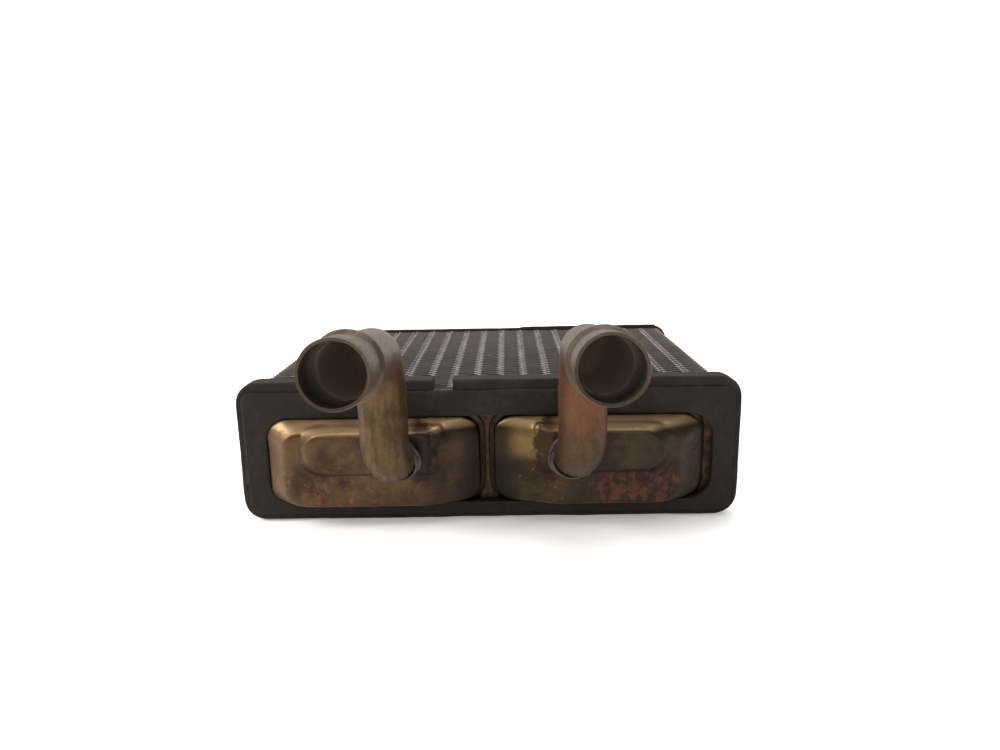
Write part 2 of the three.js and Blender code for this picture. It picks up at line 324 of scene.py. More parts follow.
def tarnished_brass(name, paints, side, foot, copper_amount, recess, shade, highlight_amounts, bright):
    """Paints are the base, dark, gold, copper and stain; side is -1 for the tank on the left.

    Foot is where the pipe enters, as X and Z. Recess is two values of Y, between which the colour
    darkens towards the back. Shade is two distances outboard, between which painted shade is laid on
    the side turned from the key light, and how much. Two more values give the painted highlights on
    the top and on the end wall, and bright the painted highlight on the inboard slope and the painted
    shade on the ledge below it. All places are in mm.
    """
    base, dark, gold, copper, stain = (paint(code) for code in paints)
    (foot_x, foot_z), (fade_from_y, fade_to_y) = foot, recess
    (side_shade_from, side_shade_to, side_shade_amount), (top_highlight_amount, end_highlight_amount) = shade, highlight_amounts
    material, node, coords = new_material(name)
    across, deep, up = (node("SeparateXYZ", (coords,), axis) for axis in "XYZ")
    outward = node("Math", (across, side), operation="MULTIPLY")
    # wide areas of tarnish, with drifts of yellower metal
    clouds = node("TexNoise", (coords, blobs(15), 4, 0.55))
    drifts = node("TexNoise", (coords, blobs(5), 6, 0.65))
    specks = node("TexNoise", (coords, blobs(0.9), 3, 0.7))
    areas = node("MapRange", (clouds, 0.34, 0.66), **SMOOTH)
    colour = node("Mix", (areas, dark, base), **COLOUR)
    yellow = node("MapRange", (drifts, 0.50, 0.72, 0, 0.6), **SMOOTH)
    colour = node("Mix", (yellow, colour, gold), **COLOUR)
    # pink copper, low down and outboard
    starts = node("MapRange", (outward, 30 * MM, 50 * MM, 0, copper_amount), **SMOOTH)
    stops = node("MapRange", (outward, 72 * MM, 60 * MM), **SMOOTH)
    outboard = node("Math", (starts, stops), operation="MULTIPLY")
    low_down = node("MapRange", (up, 26 * MM, 18 * MM), **SMOOTH)
    flaky = node("TexNoise", (coords, blobs(3.2), 8, 0.72))
    pink = node("Math", (outboard, low_down, flaky), operation="MULTIPLY_ADD")
    pink = node("Math", (low_down, 0.035, pink), operation="MULTIPLY_ADD")
    patches = node("MapRange", (pink, 0.62, 0.70, 0, 0.75), **SMOOTH)
    colour = node("Mix", (patches, colour, copper), **COLOUR)
    # painted shade on the right-hand part of the tank, away from the key light on the left
    edge = node("Math", (clouds, 12 * MM, outward), operation="MULTIPLY_ADD")
    painted_side_shade = node("MapRange", (edge, side_shade_from * MM, side_shade_to * MM, 0, side_shade_amount), **SMOOTH)
    colour = node("Mix", (painted_side_shade, colour, paint("#231b15")), **COLOUR)
    # a painted highlight high on the inboard slope, which faces the key light
    slope = node("MapRange", (outward, 26 * MM, 18 * MM, 0, bright), **SMOOTH)
    high_up = node("MapRange", (up, 23 * MM, 29 * MM), **SMOOTH)
    painted_slope_highlight = node("Math", (slope, high_up), operation="MULTIPLY")
    colour = node("Mix", (painted_slope_highlight, colour, paint("#846d40")), **COLOUR)
    # painted shade on the ledge below the pad, except where copper shows
    ledge = node("MapRange", (up, 27 * MM, 21 * MM, 0, bright * 0.7), **SMOOTH)
    shadowed = node("Math", (ledge, patches), operation="SUBTRACT", use_clamp=True)
    colour = node("Mix", (shadowed, colour, paint("#2a2018")), **COLOUR)
    # painted shade where the tank meets the other one in the middle
    painted_meeting_shade = node("MapRange", (outward, 13 * MM, 5 * MM, 0, 0.93), **SMOOTH)
    colour = node("Mix", (painted_meeting_shade, colour, paint("#1f1812")), **COLOUR)
    # painted highlights on the upper edge and on the end wall
    painted_top_highlight = node("MapRange", (up, 35.5 * MM, 37.5 * MM, 0, top_highlight_amount), **SMOOTH)
    painted_end_highlight = node("MapRange", (outward, 69 * MM, 76 * MM, 0, end_highlight_amount), **SMOOTH)
    painted_highlights = node("Math", (painted_top_highlight, painted_end_highlight), operation="MAXIMUM")
    colour = node("Mix", (painted_highlights, colour, paint("#9c8160")), **COLOUR)
    # burnt flux beside the foot of the pipe
    flat = node("Mapping", {"Vector": coords, "Scale": (1, 0, 1)})
    foot_point = (foot_x * MM, 0, foot_z * MM)
    from_foot = node("VectorMath", (flat, foot_point), "Value", operation="DISTANCE")
    ragged = node("Math", (drifts, 14 * MM, from_foot), operation="MULTIPLY_ADD")
    spill = node("MapRange", (ragged, 21.5 * MM, 20 * MM, 0, 0.85), **SMOOTH)
    foot_out = foot_x * side
    inner = node("MapRange", (outward, (foot_out - 3) * MM, (foot_out - 8) * MM), **SMOOTH)
    flux = node("Math", (spill, inner), operation="MULTIPLY")
    colour = node("Mix", (flux, colour, stain), **COLOUR)
    # specks, and a darker colour towards the back, round the flange
    dots = node("MapRange", (specks, 0.58, 0.74, 0, 0.5), **SMOOTH)
    colour = node("Mix", (dots, colour, paint("#1c140d")), **COLOUR)
    darker_to_back = node("MapRange", (deep, fade_from_y * MM, fade_to_y * MM, 0, 0.85), **SMOOTH)
    colour = node("Mix", (darker_to_back, colour, paint("#20160f")), **COLOUR)
    # polished and dull areas, and a skin that is not quite even
    polish = node("MapRange", (clouds, 0.3, 0.7, 0.50, 0.34), **SMOOTH)
    pitted = node("MapRange", (specks, 0.4, 0.7, 0, 0.16), **SMOOTH)
    shine = node("Math", (polish, pitted), operation="ADD")
    grain = node("Math", (specks, 0.35, drifts), operation="MULTIPLY_ADD")
    bump = node("Bump", {"Height": grain, "Distance": 0.12 * MM, "Strength": 0.6})
    shader = node("BsdfPrincipled", {"Base Color": colour, "Metallic": 0.8, "Roughness": shine,
                                     "Normal": bump})
    node("OutputMaterial", (shader,))
    return material


FRONT_RECESS, REAR_RECESS = (-6.0, -3.2), (129.0, 125.0)
INLET_FOOT, OUTLET_FOOT, NO_FOOT = (-32.3, 30), (29.6, 30), (0, -60)
inlet_brass = tarnished_brass(
    "tarnished_brass_inlet", ("#543f2a", "#38281d", "#5e4930", "#734535", "#221616"),
    -1, INLET_FOOT, 0.05, FRONT_RECESS, (36, 26, 0.5), (0.8, 0.2), 0.0,
)
outlet_brass = tarnished_brass(
    "tarnished_brass_outlet", ("#493a26", "#2c2217", "#574729", "#7c4736", "#2f1b15"),
    1, OUTLET_FOOT, 0.145, FRONT_RECESS, (30, 40, 0.6), (0.5, 0.0), 0.6,
)
return_brass = tarnished_brass(
    "tarnished_brass_return", ("#66502f", "#3f301e", "#6f5c34", "#7c4c38", "#38201a"),
    1, NO_FOOT, 0.05, REAR_RECESS, (110, 130, 0.5), (0.3, 0.0), 0.0,
)
print("brass:", inlet_brass.name, outlet_brass.name, return_brass.name)

# %% [markdown]
# ## Drawn pipe, half copper and half brass
# The pipes were bent hot: the heat took the colour back to pink copper on the upright and left an
# olive film elsewhere, and the hose has rubbed the mouth grey. A drawn tube shows streaks along its
# length, so the streak pattern is stretched up and forward, the two ways that the pipe runs.

# %% Drawn pipe, and the scale and painted glow inside it


def drawn_pipe(name, film, metal, dull, pink_from, pink_to):
    """Olive film that turns to copper between two heights in mm."""
    material, node, coords = new_material(name)
    deep, up = (node("SeparateXYZ", (coords,), axis) for axis in "YZ")
    clouds = node("TexNoise", (coords, blobs(8), 5, 0.55))
    fine = node("TexNoise", (coords, blobs(1.2), 4, 0.7))
    # streaks of drawing
    drawn = node("Mapping", {"Vector": coords, "Scale": (1.6, 0.3, 0.5)})
    streaks = node("TexNoise", (drawn, blobs(3), 4, 0.55))
    bands = node("MapRange", (streaks, 0.35, 0.65), **SMOOTH)
    colour = node("Mix", (bands, paint(film), paint(dull)), **COLOUR)
    # grey where the hose has rubbed
    forward = node("MapRange", (deep, -52 * MM, -92 * MM, 0, 0.7), **SMOOTH)
    colour = node("Mix", (forward, colour, paint("#4f4236")), **COLOUR)
    # copper where it was hot
    height = node("Math", (clouds, 20 * MM, up), operation="MULTIPLY_ADD")
    heated = node("MapRange", (height, pink_from * MM, pink_to * MM, 0, 0.8), **SMOOTH)
    behind = node("MapRange", (deep, -56 * MM, -40 * MM), **SMOOTH)
    heated = node("Math", (heated, behind), operation="MULTIPLY")
    colour = node("Mix", (heated, colour, paint(metal)), **COLOUR)
    # dark specks and uneven polish
    dots = node("MapRange", (fine, 0.54, 0.74, 0, 0.5), **SMOOTH)
    colour = node("Mix", (dots, colour, paint("#241a13")), **COLOUR)
    shine = node("MapRange", (fine, 0.3, 0.75, 0.46, 0.64), **SMOOTH)
    grain = node("Math", (fine, 0.4, streaks), operation="MULTIPLY_ADD")
    bump = node("Bump", {"Height": grain, "Distance": 0.12 * MM, "Strength": 0.5})
    shader = node("BsdfPrincipled", {"Base Color": colour, "Metallic": 0.75, "Roughness": shine,
                                     "Normal": bump})
    node("OutputMaterial", (shader,))
    return material


def pipe_scale_and_glow():
    """Chalky scale from hot water, dark at the mouth where the hose rubs, paler and with a painted glow
    deeper in.
    """
    material, node, coords = new_material("pipe_scale_and_glow")
    deep = node("SeparateXYZ", (coords,), "Y")
    crust = node("TexNoise", (coords, blobs(2.2), 5, 0.7))
    near_mouth = node("Mix", (crust, paint("#1e1713"), paint("#2c231d")), **COLOUR)
    # deeper in, the scale is chalky and pale, and is made pale enough to stand in partly for light inside
    # the bore
    inside = node("Mix", (crust, paint("#a8978a"), paint("#c9bbaf")), **COLOUR)
    depth = node("MapRange", (deep, -106 * MM, -88 * MM), **SMOOTH)
    colour = node("Mix", (depth, near_mouth, inside), **COLOUR)
    dullness = node("MapRange", (crust, 0.3, 0.7, 0.65, 0.9), **SMOOTH)
    bump = node("Bump", {"Height": crust, "Distance": 0.2 * MM, "Strength": 0.6})
    # a painted glow deeper in the bore, standing in for the light that reaches inside; none at the mouth
    painted_bore_glow = node("Mix", (crust, paint("#120e0c"), paint("#1d1815")), **COLOUR)
    painted_bore_glow = node("Mix", (depth, paint("#000000"), painted_bore_glow), **COLOUR)
    shader = node("BsdfPrincipled", {"Base Color": colour, "Roughness": dullness, "Normal": bump,
                                     "Emission Color": painted_bore_glow, "Emission Strength": 1.0})
    node("OutputMaterial", (shader,))
    return material


inlet_metal = drawn_pipe("drawn_pipe_inlet", "#59452b", "#6b4630", "#433220", 62, 80)
outlet_metal = drawn_pipe("drawn_pipe_outlet", "#4c3b25", "#68432f", "#403122", 42, 60)
scale_and_glow = pipe_scale_and_glow()
print("pipe:", inlet_metal.name, outlet_metal.name, scale_and_glow.name)

# %% [markdown]
# ## Solder
# Tin-lead solder dries dull silver and lumpy, and greys with age. The core is dipped in it. The
# collars were run on with a torch, and there the flux has burnt on. One recipe of lumps and wide
# areas serves all of them, with its own two tones for each.

# %% Solder, new and weathered


def solder_metal(name, dark, bright, pits, metallic):
    """Lumpy solder between two tones, with dark pits."""
    material, node, coords = new_material(name)
    lumps = node("TexNoise", (coords, blobs(1.2), 4, 0.6))
    areas = node("TexNoise", (coords, blobs(8), 3, 0.55))
    tone = node("MapRange", (areas, 0.3, 0.7), **SMOOTH)
    colour = node("Mix", (tone, paint(dark), paint(bright)), **COLOUR)
    pitting = node("MapRange", (lumps, 0.55, 0.78, 0, 0.8), **SMOOTH)
    colour = node("Mix", (pitting, colour, paint(pits)), **COLOUR)
    shine = node("MapRange", (lumps, 0.3, 0.7, 0.34, 0.58), **SMOOTH)
    bump = node("Bump", {"Height": lumps, "Distance": 0.15 * MM, "Strength": 0.7})
    shader = node("BsdfPrincipled", {"Base Color": colour, "Metallic": metallic, "Roughness": shine,
                                     "Normal": bump})
    node("OutputMaterial", (shader,))
    return material


solder = solder_metal("tin_lead_solder", "#a89e97", "#d2c8c0", "#554c47", 0.5)
grey_solder = solder_metal("grey_solder", "#6b635d", "#8d847d", "#3a332f", 0.5)
dull_tube = solder_metal("dulled_tin", "#1d1917", "#38322f", "#14110f", 0.2)
burnt_flux = solder_metal("burnt_flux", "#2a2022", "#454244", "#1a1315", 0.25)
old_solder = solder_metal("weathered_solder", "#30251f", "#4d453f", "#1e1511", 0.3)
print("solder:", [m.name for m in (solder, grey_solder, dull_tube, burnt_flux, old_solder)])

# %% [markdown]
# ## Painted foil
# The fins are copper foil under a thin dark paint. Dipping the core tins the last millimetre of every
# fold beside a tube, so the foil turns from paint to bright metal there. The tubes stand at an even
# pitch, so the distance to the nearest one is worked out from X alone.

# %% Painted copper foil, tinned along the tubes


def painted_foil(pitch, first_x, low, high):
    """Paint on foil that turns to solder within reach of a tube and near the two faces."""
    material, node, coords = new_material("painted_copper_foil")
    across, deep, up = (node("SeparateXYZ", (coords,), axis) for axis in "XYZ")
    blotches = node("TexNoise", (coords, blobs(9), 4, 0.55))
    grit = node("TexNoise", (coords, blobs(0.7), 3, 0.7))
    # uneven paint with grit, and scrapes that run across the folds
    coat = node("MapRange", (blotches, 0.35, 0.68), **SMOOTH)
    colour = node("Mix", (coat, paint("#403836"), paint("#554c4a")), **COLOUR)
    faded = node("MapRange", (deep, 30 * MM, 120 * MM, 0, 0.35), **SMOOTH)
    colour = node("Mix", (faded, colour, paint("#857b76")), **COLOUR)
    dust = node("MapRange", (grit, 0.60, 0.78, 0, 0.4), **SMOOTH)
    colour = node("Mix", (dust, colour, paint("#8f857f")), **COLOUR)
    dragged = node("Mapping", {"Vector": coords, "Scale": (0.5, 3, 0.15)})
    scrape = node("TexNoise", (dragged, blobs(5), 3, 0.6))
    bare = node("MapRange", (scrape, 0.69, 0.74, 0, 0.7), **SMOOTH)
    colour = node("Mix", (bare, colour, paint("#a9a09a")), **COLOUR)
    # distance from the nearest tube, made ragged
    steps = node("MapRange", (across, first_x * MM, (first_x + pitch) * MM), clamp=False)
    nearest = node("Math", (steps,), operation="ROUND")
    offset = node("Math", (steps, nearest), operation="SUBTRACT")
    distance = node("Math", (offset,), operation="ABSOLUTE")
    distance = node("Math", (distance, pitch), operation="MULTIPLY")
    ragged = node("Math", (grit, 0.8, distance), operation="MULTIPLY_ADD")
    near_tube = node("MapRange", (ragged, 2.05, 1.70), **SMOOTH)
    # distance from the middle of the core's depth
    below = node("Math", (up, (low + high) / 2 * MM), operation="SUBTRACT")
    below = node("Math", (below,), operation="ABSOLUTE")
    half = (high - low) / 2 * MM
    near_face = node("MapRange", (below, half - 0.3 * MM, half - 0.08 * MM, 0, 0.7), **SMOOTH)
    # a paler lip on the cut edge of the foil, where the paint is thin, which is also a painted highlight of
    # the edge catching the light
    lip = node("MapRange", (below, half - 0.22 * MM, half - 0.12 * MM, 0, 0.5), **SMOOTH)
    colour = node("Mix", (lip, colour, paint("#8a807a")), **COLOUR)
    tinned = node("Math", (near_tube, near_face), operation="MULTIPLY")
    tin = node("Mix", (coat, paint("#98918a"), paint("#bab3ac")), **COLOUR)
    colour = node("Mix", (tinned, colour, tin), **COLOUR)
    metallic = node("Math", (tinned, 0.6), operation="MULTIPLY")
    shine = node("MapRange", (grit, 0.3, 0.7, 0.42, 0.62), **SMOOTH)
    bump = node("Bump", {"Height": grit, "Distance": 0.08 * MM, "Strength": 0.6})
    shader = node("BsdfPrincipled", {"Base Color": colour, "Metallic": metallic, "Roughness": shine,
                                     "Normal": bump})
    node("OutputMaterial", (shader,))
    return material


first_low, first_high = box_mm(tube_names[0])
last_low, last_high = box_mm(tube_names[-1])
tube_first_x = (first_low.x + first_high.x) / 2
tube_pitch = ((last_low.x + last_high.x) / 2 - tube_first_x) / (len(tube_names) - 1)
tube_half = (first_high.x - first_low.x) / 2
core_low, core_high = box_mm(fin_names[1])
foil = painted_foil(tube_pitch, tube_first_x, core_low.z, core_high.z)
print(f"tube pitch {tube_pitch:.2f} mm, core depth {core_high.z - core_low.z:.1f} mm")

# %% [markdown]
# ## Foam and header plate
# The foam is a closed-cell rubber, almost black, with dust in its pores and hardly any shine. The
# header plates are brass that has been under flux and wet foam for years, so they are brown, with a
# thread of solder left along the upper rim of the front one.

# %% Foam and header brass


def cell_foam():
    """Black rubber foam: fine cells and a bloom of dust."""
    material, node, coords = new_material("closed_cell_foam")
    cells = node("TexNoise", (coords, blobs(0.7), 2, 0.6))
    dust = node("TexNoise", (coords, blobs(9), 6, 0.65))
    bloom = node("MapRange", (dust, 0.42, 0.75), **SMOOTH)
    colour = node("Mix", (bloom, paint("#251f1c"), paint("#322b27")), **COLOUR)
    pores = node("MapRange", (cells, 0.60, 0.8, 0, 0.5), **SMOOTH)
    colour = node("Mix", (pores, colour, paint("#453b35")), **COLOUR)
    dullness = node("MapRange", (dust, 0.3, 0.7, 0.86, 0.97), **SMOOTH)
    relief = node("Math", (dust, 1.5, cells), operation="MULTIPLY_ADD")
    bump = node("Bump", {"Height": relief, "Distance": 0.18 * MM, "Strength": 0.7})
    shader = node("BsdfPrincipled", {"Base Color": colour, "Roughness": dullness,
                                     "Specular IOR Level": 0.25, "Normal": bump})
    node("OutputMaterial", (shader,))
    return material


def header_brass():
    """Brown stained brass, with painted shade along the top edge and a thread of solder on the front plate's
    upper rim.
    """
    material, node, coords = new_material("stained_header_plate")
    deep, up = (node("SeparateXYZ", (coords,), axis) for axis in "YZ")
    stain = node("TexNoise", (coords, blobs(4), 6, 0.65))
    fine = node("TexNoise", (coords, blobs(0.8), 3, 0.55))
    brown = node("MapRange", (stain, 0.35, 0.65), **SMOOTH)
    colour = node("Mix", (brown, paint("#37271c"), paint("#654a34")), **COLOUR)
    flecks = node("MapRange", (fine, 0.62, 0.78, 0, 0.4), **SMOOTH)
    colour = node("Mix", (flecks, colour, paint("#6b5a4a")), **COLOUR)
    # painted shade along the top edge, under the foam strip
    painted_top_shade = node("MapRange", (up, 47.8 * MM, 48.4 * MM, 0, 0.8), **SMOOTH)
    colour = node("Mix", (painted_top_shade, colour, paint("#1b1411")), **COLOUR)
    height = node("Math", (fine, 0.6 * MM, up), operation="MULTIPLY_ADD")
    rim = node("MapRange", (height, 49.0 * MM, 49.4 * MM), **SMOOTH)
    front = node("MapRange", (deep, -1.0 * MM, -1.4 * MM), **SMOOTH)
    thread = node("Math", (rim, front), operation="MULTIPLY")
    colour = node("Mix", (thread, colour, paint("#6d655f")), **COLOUR)
    shine = node("MapRange", (fine, 0.3, 0.7, 0.7, 0.85), **SMOOTH)
    bump = node("Bump", {"Height": stain, "Distance": 0.2 * MM, "Strength": 0.5})
    shader = node("BsdfPrincipled", {"Base Color": colour, "Metallic": 0.15, "Roughness": shine,
                                     "Specular IOR Level": 0.3, "Normal": bump})
    node("OutputMaterial", (shader,))
    return material


foam = cell_foam()
plate_brass = header_brass()
print("foam and plate:", foam.name, plate_brass.name)

# %% [markdown]
# ## Dressing a piece
# Each finished piece takes its materials, rides on the one body, hides the CAD node that it stands
# for, and is shaded smooth except across real edges.

# %% Dress a finished piece


def dress(piece, materials, node, smooth=35):
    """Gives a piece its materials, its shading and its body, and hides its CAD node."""
    numbers = [min(face.material_index, len(materials) - 1) for face in piece.data.polygons]
    piece.data.materials.clear()
    for material in materials:
        piece.data.materials.append(material)
    piece.data.polygons.foreach_set("material_index", numbers)
    activate(piece)
    bpy.ops.object.shade_smooth_by_angle(angle=math.radians(smooth))
    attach(piece, "root")
    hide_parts(node)


print("pieces can be dressed")

# %% [markdown]
# ## Folded fins
# A fin strip is one ribbon of copper foil, folded to and fro between two tubes like a fan. Drawing
# every fold would be slow, so one fold is made: an upright edge is extruded across, spun round the
# crest, extruded back and spun again. An Array repeats it along the tube and Solidify gives it the
# thickness of foil. A soft ripple then makes every strip a little different, as fingers do.

# %% One fold of foil

FOLD_PITCH = 3.33  # along the tube
CREST_RADIUS = 0.34
FOIL = 0.14  # drawn about twice as thick as real foil, so that it shows
CREST_STEPS = 4
LEG_FLAT = 0.16  # share of a leg left flat beside each crest
SLATS = 12  # louvres pressed in each leg, coarser than the real ones
SLAT_LIFT = 0.22
SLAT_CLOSE = 1.4  # draws the lower edge of one louvre towards the next


def fold_angle(width, pitch):
    """Slope of a leg that runs straight between two round crests."""
    across = width - 2 * CREST_RADIUS
    span = math.hypot(across, pitch / 2)
    return math.atan2(pitch / 2, across) - math.asin(2 * CREST_RADIUS / span)


def one_fold(name, left, right, start, pitch, low, high):
    """A wave of foil from the left crest to the right crest and back, with pressed louvres."""
    slope = fold_angle(right - left, pitch)
    turn = math.pi - 2 * slope
    lean_x, lean_y = CREST_RADIUS * math.sin(slope), CREST_RADIUS * math.cos(slope)
    leg_x = right - left - 2 * CREST_RADIUS + 2 * lean_x
    leg_y = leg_x * math.tan(slope)
    at = Vector((left + CREST_RADIUS - lean_x, start, 0))
    deselect()
    bpy.ops.mesh.primitive_grid_add(
        x_subdivisions=1, y_subdivisions=2 * SLATS, size=MM, rotation=(math.pi / 2, 0, 0),
        location=((at.x + 0.5) * MM, at.y * MM, (low + high) / 2 * MM),
    )
    fold = bpy.context.object
    fold.name = name
    fold.scale = (1, high - low, 1)
    place_in_mesh(fold)
    pick(fold, lambda p, _: p.x > at.x + 0.5)  # only the upright edge at the crest stays
    bpy.ops.mesh.delete(type="VERT")
    bpy.ops.mesh.select_all(action="SELECT")
    for side in (1, -1):
        for share in (LEG_FLAT, 1 - 2 * LEG_FLAT, LEG_FLAT):
            extrude_by(side * leg_x * share, leg_y * share, 0)
        at += Vector((side * leg_x, leg_y, 0))
        crest = at + Vector((-side * lean_x, lean_y, 0))
        spin_about(crest, (0, 0, 1), -side * turn, CREST_STEPS)
        at = crest + Vector((side * lean_x, lean_y, 0))
    centre = (left + right) / 2
    reach = leg_x * (0.5 - LEG_FLAT) + 0.05
    row = (high - low) / (2 * SLATS)
    for parity, lift in ((0, -SLAT_LIFT), (1, SLAT_LIFT)):
        def in_row(p, _):
            number = round((p.z - low) / row)
            inside = 0 < number < 2 * SLATS and abs(p.x - centre) < reach
            return inside and number % 2 == parity
        pick(fold, in_row)
        move_by(0, lift, -lift * SLAT_CLOSE * row)
    leave_edit()
    return fold


# %% Solder in the crests, and a whole strip

DROP_DEEP = 0.18  # how far a drop of solder runs down into a crest
DROP_OUT = 0.35  # how far it runs out along the legs
DROP_IN = 1.0  # and how far it climbs over the nose of the tube
DROP_HALF = 0.22
DROP_TAPER = 0.6  # share of its width left at its outer end
DROP_CROWN = 0.05  # how far its middle stands up
RIPPLES = ((7, 0.3), (2.6, 0.1))  # size and height in mm of the unevenness of the folds


def crest_drops(name, left, right, start, slope_pitch, low, high, sides):
    """Drops of solder that fill the top and bottom of each crest beside a tube."""
    drops = []
    for side, crest_x in ((1, right), (-1, left)):
        if side not in sides:
            continue
        for face, top in ((1, high - 0.02), (-1, low + 0.02)):
            near, far = crest_x + side * DROP_IN, crest_x - side * DROP_OUT
            middle = start + slope_pitch * (0.5 if side == 1 else 1)
            corners = sorted((near, far)), sorted((top, top - face * DROP_DEEP))
            drop = add_block(
                name, (corners[0][0], middle - DROP_HALF, corners[1][0]),
                (corners[0][1], middle + DROP_HALF, corners[1][1]),
            )
            pick(drop, lambda p, _: abs(p.x - far) < 0.1)
            bpy.ops.transform.resize(value=(1, DROP_TAPER, 1))
            pick(drop, lambda p, n: n.z * face > 0.9, "FACE")
            bpy.ops.mesh.inset(thickness=0.12 * MM)
            move_by(0, 0, face * DROP_CROWN)
            leave_edit()
            drops.append(drop)
    return drops


def join_marked(parts, materials):
    """Joins (piece, number) pairs; each keeps the material of its number."""
    for piece, number in parts:
        piece.data.materials.clear()
        for material in materials:
            piece.data.materials.append(material)
        piece.data.polygons.foreach_set("material_index", [number] * len(piece.data.polygons))
    return join(parts[0][0], [piece for piece, _ in parts[1:]])


def whole_strip(name, left, right, sides):
    """A full strip of folds: foil with thickness, and its drops of solder."""
    start, end = core_low.y, core_high.y
    count = round((end - start) / FOLD_PITCH)
    pitch = (end - start) / count
    repeat = {"use_relative_offset": False, "use_constant_offset": True, "count": count,
              "constant_offset_displace": (0, pitch * MM, 0)}
    foil_piece = one_fold(name, left, right, start, pitch, core_low.z, core_high.z)
    apply_modifier(foil_piece, "ARRAY", use_merge_vertices=True, merge_threshold=0.02 * MM, **repeat)
    apply_modifier(foil_piece, "SOLIDIFY", thickness=FOIL * MM, offset=0)
    drops = crest_drops(name + "_drop", left, right, start, pitch, core_low.z, core_high.z, sides)
    drops = join(drops[0], drops[1:])
    apply_modifier(drops, "ARRAY", **repeat)
    return foil_piece, drops


def finish_strip(foil_piece, drops, node, seed):
    """Makes the strip uneven, joins its solder and dresses it."""
    for part in (foil_piece, drops):
        for number, (size, strength) in enumerate(RIPPLES):
            ripple(part, size, strength, seed + 50 * number, "Y")
    strip = join_marked([(foil_piece, 0), (drops, 1)], (foil, solder))
    strip.name = "folded_" + node
    dress(strip, (foil, solder), node, smooth=50)
    return strip


strips = []
model_left = tube_first_x + tube_half
model_right = tube_first_x + tube_pitch - tube_half
model = whole_strip("fold_model", model_left, model_right, (1, -1))
for number, node in enumerate(fin_names):
    node_low, node_high = box_mm(node)
    if number == 0:
        parts = whole_strip("fold_left", node_low.x + 0.1, first_low.x, (1,))
    elif number == len(fin_names) - 1:
        parts = whole_strip("fold_right", last_high.x, node_high.x - 0.1, (-1,))
    else:
        shift = (tube_pitch * (number - 1), 0, 0)
        parts = [duplicate(part, f"copy_{number}", shift) for part in model]
    strips.append(finish_strip(*parts, node, number + 1))
for part in model:
    bpy.data.objects.remove(part)
print("fin strips:", len(strips), "faces in one:", len(strips[3].data.polygons))

# %% [markdown]
# ## Flat water tubes
# A flat tube is a thin brass tube squeezed to 2.3 mm with round noses, dipped in solder with the
# core. A block with its four long edges bevelled has the right section. The solder that stands on
# the nose is a second, uneven bead along it.

# %% Tubes
BEAD_HALF, BEAD_PROUD, BEAD_SUNK = 0.16, 0.45, 0.5  # the bead of solder on a tube's nose
BEAD_SHORT = 1.5  # how far the bead stops before each end of the tube
BEAD_CUTS = 110
NOSE_ROUND = 0.96  # share of the tube's half width that its noses are rounded by
TUBE_WALL = 0.35
TUBE_BORE = 4  # how deep each open end goes in


def flat_tube(node, seed):
    """One flat tube, open at both ends, with a bead of solder along each nose."""
    low, high = box_mm(node)
    tube = add_block("flat_" + node, low, high)
    pick(tube, lambda p, along: abs(along.y) > 0.9, "EDGE")
    round_off((high.x - low.x) / 2 * NOSE_ROUND, 5)
    for end in (1, -1):
        pick(tube, lambda p, n: n.y * end > 0.9, "FACE")
        bpy.ops.mesh.inset(thickness=TUBE_WALL * MM)
        extrude_by(0, -end * TUBE_BORE, 0)
    beads = []
    middle = (low.x + high.x) / 2
    for face, z in ((1, high.z), (-1, low.z)):
        reach = sorted((z - face * BEAD_SUNK, z + face * BEAD_PROUD))
        bead = add_block(
            "bead", (middle - BEAD_HALF, low.y + BEAD_SHORT, reach[0]),
            (middle + BEAD_HALF, high.y - BEAD_SHORT, reach[1]),
        )
        pick(bead, lambda p, along: abs(along.y) > 0.9, "EDGE")
        bpy.ops.mesh.subdivide(number_cuts=BEAD_CUTS)
        pick(bead, lambda p, along: abs(along.y) > 0.9 and face * (p.z - z) > 0.3, "EDGE")
        round_off(BEAD_HALF * 0.7, 2)
        leave_edit()
        ripple(bead, 1.7, 0.35, seed + 7 * face)
        ripple(bead, 4, 0.5, seed + 9 * face, "X")
        beads.append(bead)
    tube = join_marked([(tube, 0), *((bead, 1) for bead in beads)], (dull_tube, grey_solder))
    dress(tube, (dull_tube, grey_solder), node, smooth=50)
    return tube


tubes = [flat_tube(node, 100 + i) for i, node in enumerate(tube_names)]
print("tubes:", len(tubes), "faces in one:", len(tubes[0].data.polygons))

# %% [markdown]
# ## Pressed tanks
# A tank is one pressing: a shallow tray with drawn corners, a raised pad where the pipe enters, and
# a ledge below it. A press leaves no sharp inside corners. Two blocks, tapered and bevelled, are
# joined and remeshed finely as one skin. Smoothing then melts the corners together as drawing does,
# the back is cut open and the skin is given the thickness of sheet brass.

# %% Pressed shapes


